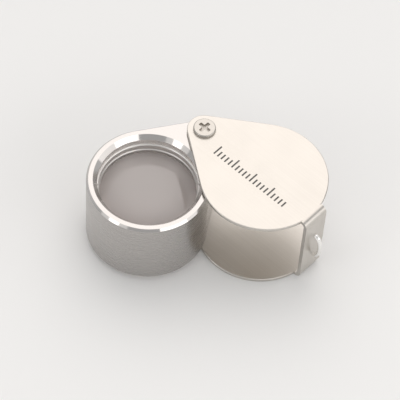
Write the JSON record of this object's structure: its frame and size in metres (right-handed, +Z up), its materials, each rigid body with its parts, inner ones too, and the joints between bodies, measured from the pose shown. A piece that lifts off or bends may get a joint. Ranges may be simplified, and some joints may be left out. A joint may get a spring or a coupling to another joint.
{
  "type": "folding viewing loupe",
  "caption": "Folding metal loupe: a cemented triplet in a polished round holder that swings on a screwed pivot out of a folded teardrop sheet cover with a lanyard loop.",
  "frame": {"origin": "on the pivot axis, at the outer face of the lower cover plate, which the loupe lies on", "axes": "+Z up along the pivot axis, from the lower plate to the upper plate with the screw head; +X along the cover, from the pivot to the bridge; the lens holder points along -Y at rest, a quarter turn out of the cover"},
  "size_m": [0.047, 0.0435, 0.0207],
  "materials": {
    "cover_steel": "satin",
    "loop_wire": "polished",
    "screw_nickel": "satin",
    "sleeve_steel": "satin",
    "washer_polymer": "matte",
    "spring_steel": "satin",
    "bush_brass": "satin",
    "holder_polished": "polished",
    "ring_satin": "satin",
    "spacer_dark": "satin",
    "flint_glass": "polished",
    "crown_glass": "polished"
  },
  "bodies": {
    "cover": {"cover_shell": "cover_steel", "lanyard_loop": "loop_wire", "pivot_screw": "screw_nickel", "pivot_sleeve": "sleeve_steel", "friction_washer": "washer_polymer", "spring_washer": "spring_steel"},
    "holder": {"lens_holder": "holder_polished", "pivot_bush": "bush_brass", "upper_retaining_ring": "ring_satin", "lower_retaining_ring": "ring_satin", "upper_spacer_ring": "spacer_dark", "lower_spacer_ring": "spacer_dark", "upper_flint_lens": "flint_glass", "crown_lens": "crown_glass", "lower_flint_lens": "flint_glass"}
  },
  "joints": [
    {"name": "lens_swing", "type": "hinge", "parent": "cover", "child": "holder", "pos_m": [0, 0, 0.01], "axis": [0, 0, 1], "continuous": true}
  ]
}
